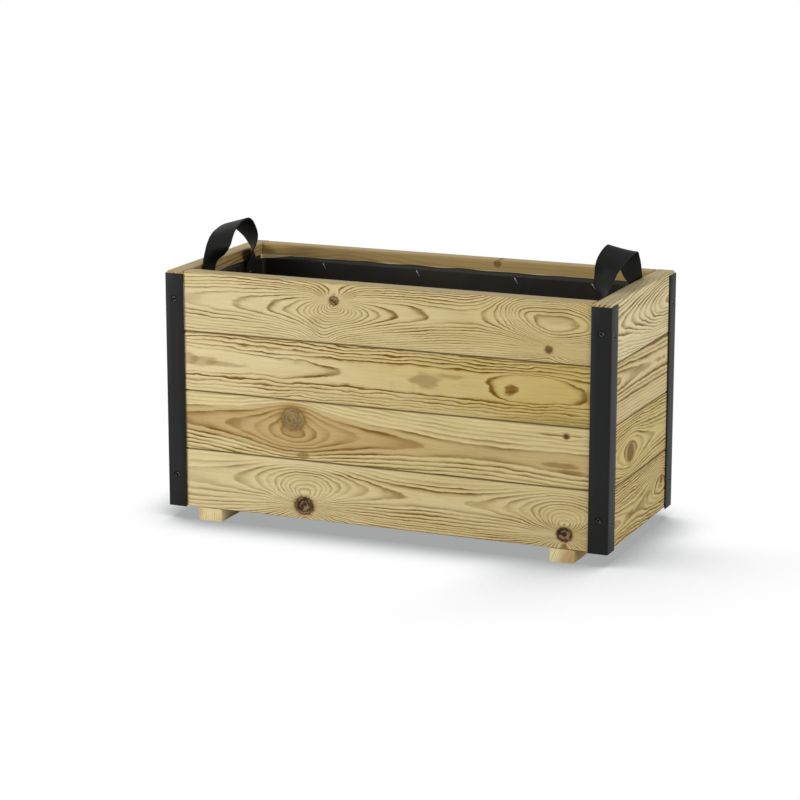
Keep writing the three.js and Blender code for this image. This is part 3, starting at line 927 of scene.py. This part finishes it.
low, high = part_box("liner")
inset = Vector((film_thickness, film_thickness, 0))
low += inset
high -= inset
size = high - low
bm = bmesh.new()
box = Matrix.Translation((low + high) / 2) @ Matrix.Diagonal((*size, 1))
bmesh.ops.create_cube(bm, size=1.0, matrix=box)
lid = [face for face in bm.faces if face.normal.z > 0.5]
bmesh.ops.delete(bm, geom=lid, context="FACES_ONLY")
closed = [edge for edge in bm.edges if not edge.is_boundary]
ease_edges(bm, closed, film_corner, ease_steps)
for axis in range(3):
    count = int(size[axis] / film_step)
    for step in range(1, count):
        cut_at = low.copy()
        cut_at[axis] += size[axis] * step / count
        direction = Vector((0, 0, 0))
        direction[axis] = 1.0
        everything = bm.verts[:] + bm.edges[:] + bm.faces[:]
        bmesh.ops.bisect_plane(bm, geom=everything, plane_co=cut_at, plane_no=direction)
bm.normal_update()
inward = {vert: -vert.normal for vert in bm.verts}
for vert, way in inward.items():
    below = high.z - vert.co.z
    slack = min(max(below - taut_height, 0.0) / slack_reach, 1.0)
    slack *= min((vert.co.z - low.z) / settled_height + settled_share, 1.0)
    ripple = Vector((vert.co.x * ripple_rate, vert.co.y * ripple_rate, vert.co.z * ripple_rise))
    folds = noise.fractal(vert.co * crease_rate, *crease_layers) + ripple_share * noise.noise(ripple)
    vert.co += way * slack_depth * slack * max(folds + crease_lift, 0.0)
    if below < 10 * touching:
        vert.co.z += edge_wave * noise.noise(vert.co * edge_rate) - edge_drop
        from_corner = math.hypot(vert.co.x - low.x, vert.co.y - high.y)
        if vert.co.y > high.y - film_corner and from_corner < dip_length:
            vert.co.z -= dip_depth * (1 - (from_corner / dip_length) ** 2)
liner = add_piece("liner_film", bm, film(), ["liner"], sharp=60.0)
solid = liner.modifiers.new("film", "SOLIDIFY")
solid.thickness = film_thickness
solid.offset = 0.0

# Staples: galvanised wire, shot through the film into the walls a little below its edge, at a slant, and
# upright through the ends of the handles.
staple_crown = 0.010
staple_leg = 0.007
staple_wire = 0.0007
staple_width = 0.0012
staple_drop = 0.013
staples = {"rear": (-0.212, -0.054, 0.107, 0.231), "front": (-0.24, -0.08, 0.085, 0.25),
           "left": (-0.02, ), "right": (0.01, )}
tab_staples = ((0.010, 0.031), (-0.004, 0.037), (0.005, 0.044))
wall_slant = (10, 35)
tab_slant = (-12, 12)
staple_seed = 5
staple_metal = 0.8
staple_tone = "a8a59c"
staple_worn = "7a766c"


def staple_shape():
    """A staple with its crown across +Y, on a wall that faces +Z."""
    half, wire = staple_crown / 2, staple_wire
    outline = [(-half, -staple_leg), (-half, wire), (half, wire), (half, -staple_leg),
               (half - wire, -staple_leg), (half - wire, 0), (wire - half, 0), (wire - half, -staple_leg)]
    bm = extruded(outline, -staple_width / 2, staple_width / 2)
    square = [edge for edge in bm.edges if edge.calc_face_angle() > square_angle]
    ease_edges(bm, square, wire / 4, fine_steps)
    return bm


def merged(target, source, place):
    """Adds a placed mesh to another."""
    move(source, place)
    mesh = mesh_of("part", source)
    target.from_mesh(mesh)
    bpy.data.meshes.remove(mesh)


steel = screw_finish("staple_wire_finish", staple_tone, staple_worn, staple_metal)
bm = bmesh.new()
draw = random.Random(staple_seed)
for side, places in staples.items():
    half = high.y if side in ("front", "rear") else high.x
    for along in places:
        slant = math.radians(draw.uniform(*wall_slant))
        spin = Matrix.Rotation(wall_turns[side], 4, "Z")
        spot = Vector((along if side != "rear" else -along, -half + film_thickness, high.z - staple_drop))
        merged(bm, staple_shape(), spin @ facing(spot, Vector((0, 1, 0))) @ Matrix.Rotation(slant, 4, "Z"))
for tab in [f"{end}_handle_{side}_tab" for end in ("left", "right") for side in ("front", "rear")]:
    tab_low, tab_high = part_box(tab)
    into_box = Vector((1, 0, 0)) if tab_low.x < 0 else Vector((-1, 0, 0))
    for beside, drop in tab_staples:
        spot = (tab_low + tab_high) / 2 + into_box * (tab_high.x - tab_low.x) / 2
        spot.y += math.copysign(beside, -spot.y)
        spot.z = tab_high.z - drop
        slant = math.radians(90 + draw.uniform(*tab_slant))
        merged(bm, staple_shape(), facing(spot, into_box) @ Matrix.Rotation(slant, 4, "Z"))
add_piece("liner_staples", bm, steel, [])

# Handles: one length of black polypropylene webbing at each end, stapled inside the end wall by both ends.
# It rises flat against the wall, twists a quarter turn and arches over, with a soft crease at the crown.
web_thickness = 0.0018
web_across = 12
web_along = 170
web_tone = "0a0c08"
web_crown_highlight = "1d221a"
web_line = "3c4236"
rib_count = 26.0
pick_count = 190.0
edge_line = 0.42
line_fade = (0.008, 0.02)
line_share = 0.75
rim_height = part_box(f"left_board_{course_count}")[1].z
tab_low, tab_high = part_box("left_handle_front_tab")
web_plane = -(tab_low.x + tab_high.x) / 2
# Each end's edge by the wall and its free edge, in millimetres inward, to the rear and above the rim
tab_drop = (tab_low.z - rim_height) * millimetres
strap_edges = {
    "left": (
        [(0, -90, tab_drop), (0, -90, -20), (0, -89, 0), (0, -85, 14), (0, -76, 29), (0, -60, 42),
         (0, -35, 49), (0, -12, 51), (0, 6, 48), (0, 26, 37), (0, 47, 25), (0, 64, 12), (0, 76, 1),
         (0, 89, -18), (0, 90, tab_drop)],
        [(0, -52, tab_drop), (0, -52, -20), (4, -52, 0), (22, -60, 14), (36, -70, 28), (37, -56, 48),
         (37, -34, 59), (37, -10, 62), (37, 7, 55), (37, 19, 41), (34, 29, 28), (27, 37, 14), (18, 43, 1),
         (4, 52, -20), (0, 52, tab_drop)],
    ),
    "right": (
        [(0, -90, tab_drop), (0, -90, -26), (0, -82, -8), (-1, -62, 8), (-4, -50, 21), (-8, -38, 32),
         (-11, -18, 41), (-14, 2, 47), (-13, 23, 46), (-10, 41, 36), (-7, 56, 23), (-4, 69, 9),
         (-1, 83, -6), (0, 90, -26), (0, 90, tab_drop)],
        [(0, -52, tab_drop), (1, -52, -28), (14, -50, -12), (30, -38, 4), (31, -39, 22), (28, -43, 40),
         (25, -31, 53), (23, -7, 59), (23, 10, 50), (19, 17, 36), (14, 24, 20), (10, 34, 5), (4, 45, -8),
         (0, 52, -28), (0, 52, tab_drop)],
    ),
}


def on_curve(points, share):
    """A point on the smooth curve through the points, at a share of the way along them."""
    spot = share * (len(points) - 1)
    index = min(int(spot), len(points) - 2)
    part = spot - index
    nearby = [min(max(index + step, 0), len(points) - 1) for step in (-1, 0, 1, 2)]
    before, start, end, after = (Vector(points[step]) for step in nearby)
    return 0.5 * (2 * start + (end - before) * part + (2 * before - 5 * start + 4 * end - after) * part ** 2
                  + (3 * start - before - 3 * end + after) * part ** 3)


def webbing():
    """Woven polypropylene: ribs along the strap, crossed by the picks, with a paler line near each edge."""
    material, tree, shader = new_material("black_webbing")
    across, along, _ = parts_of(given(tree, "ShaderNodeUVMap", {}, uv_map="UVMap"))
    ribs = across * rib_count
    picks = along * pick_count + number("FLOOR", ribs) * 0.5
    bulge, stitch = (number("SINE", number("FRACT", count) * math.pi) for count in (ribs, picks))
    height = bulge * number("SQRT", stitch)
    line = fade(abs(abs(across - 0.5) - edge_line), *line_fade, line_share, 0.0)
    # The raised crowns of the weave are painted lighter: a painted highlight
    colour = mixed(height, web_tone, web_crown_highlight)
    plug(shader, {
        "Base Color": mixed(line * stitch, colour, web_line), "Roughness": 0.7,
        "Specular IOR Level": 0.2, "Normal": bump(height, 0.6, 0.0006),
    })
    return material


web = webbing()
for end, way in {"left": 1.0, "right": -1.0}.items():
    wall_edge, free_edge = strap_edges[end]
    bm = bmesh.new()
    bm.loops.layers.uv.verify()
    bmesh.ops.create_grid(bm, x_segments=web_across, y_segments=web_along, size=0.5, calc_uvs=True)
    for vert in bm.verts:
        share = vert.co.y + 0.5
        spot = on_curve(wall_edge, share).lerp(on_curve(free_edge, share), vert.co.x + 0.5) / millimetres
        vert.co = (-way * (web_plane - spot.x), spot.y, rim_height + spot.z)
    if way < 0:
        bmesh.ops.reverse_faces(bm, faces=bm.faces)
    flat = add_object("flat_strap", mesh_of("flat_strap", bm))
    solid = flat.modifiers.new("web", "SOLIDIFY")
    solid.thickness = web_thickness
    solid.offset = 0.0
    bpy.context.view_layer.update()
    woven = bpy.data.meshes.new_from_object(flat.evaluated_get(bpy.context.evaluated_depsgraph_get()))
    bpy.data.objects.remove(flat)
    strap = smooth_object(f"{end}_handle_strap", woven, web, 50.0)
    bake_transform(strap)
    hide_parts(f"{end}_handle_loop", f"{end}_handle_front_tab", f"{end}_handle_rear_tab")

# Stage: a white floor with a painted shadow of the planter, and a white surround. To the camera the floor
# glows white where ambient occlusion finds it open, and is painted darker close to the planter, most at
# the front right.
floor_reach = 9.0
floor_tone = (0.82, 0.82, 0.82, 1.0)
shade_near = 0.12
shade_far = 0.48
shade_turn = (0.35, 0.7)
shade_limits = (0.45, 0.95)
shade_darkest = 0.38
shade_tint = (0.97, 1.0, 0.99)
surround_light = 0.42
lamp_target = Vector((0, 0, 0.2))
bm = bmesh.new()
bmesh.ops.create_grid(bm, x_segments=1, y_segments=1, size=floor_reach)
floor = add_object("floor", mesh_of("floor", bm))


def seen_rays(tree):
    """One for rays that show the stage: those of the camera, and those that metal or film sends on."""
    seen = given(tree, "ShaderNodeLightPath", {}, "Is Camera Ray")
    for kind in ("Glossy", "Transmission"):
        seen = number("MAXIMUM", seen, given(tree, "ShaderNodeLightPath", {}, f"Is {kind} Ray"))
    return seen


material, tree, shader = new_material("white_floor")
plug(shader, {"Base Color": floor_tone, "Roughness": 0.9, "Specular IOR Level": 0.0})
# Painted shadow: ambient occlusion, reaching further towards the front right, darkens the glow that is seen
to_right_front = arrow("DOT_PRODUCT", coordinates(tree), (1.0, -1.0, 0.0))
reach = fade(to_right_front, *shade_turn, shade_near, shade_far)
open_sky = given(tree, "ShaderNodeAmbientOcclusion", {"Distance": reach}, "AO", samples=16)
level = fade(open_sky, *shade_limits, shade_darkest, 1.0)
shades = {index: level ** (1 / tint) for index, tint in enumerate(shade_tint)}
shade = given(tree, "ShaderNodeCombineXYZ", shades)
painted_shadow_glow = given(tree, "ShaderNodeEmission", {"Color": shade, "Strength": 1.0})
either = {0: seen_rays(tree), 1: Value(shader.outputs[0]), 2: painted_shadow_glow}
plug(tree.nodes["Material Output"], {"Surface": given(tree, "ShaderNodeMixShader", either)})
floor.data.materials.append(material)

world = bpy.data.worlds.new("studio")
scene.world = world
world.use_nodes = True
tree = world.node_tree
strength = seen_rays(tree) * (1.0 - surround_light) + surround_light
plug(tree.nodes["Background"], {"Color": (1, 1, 1, 1), "Strength": strength})


def add_lamp(name, place, size, power):
    """A square softbox that looks at the planter."""
    lamp = bpy.data.lights.new(name, "AREA")
    lamp.size = size
    lamp.energy = power
    aim(add_object(name, lamp), Vector(place), lamp_target)


add_lamp("left_softbox", (-2.6, -2.3, 1.0), 1.6, 80.0)
add_lamp("right_softbox", (3.3, -0.6, 1.1), 1.6, 36.0)
add_lamp("rear_softbox", (-1.3, 1.7, 1.9), 1.8, 10.0)
scene.view_settings.view_transform = "Standard"
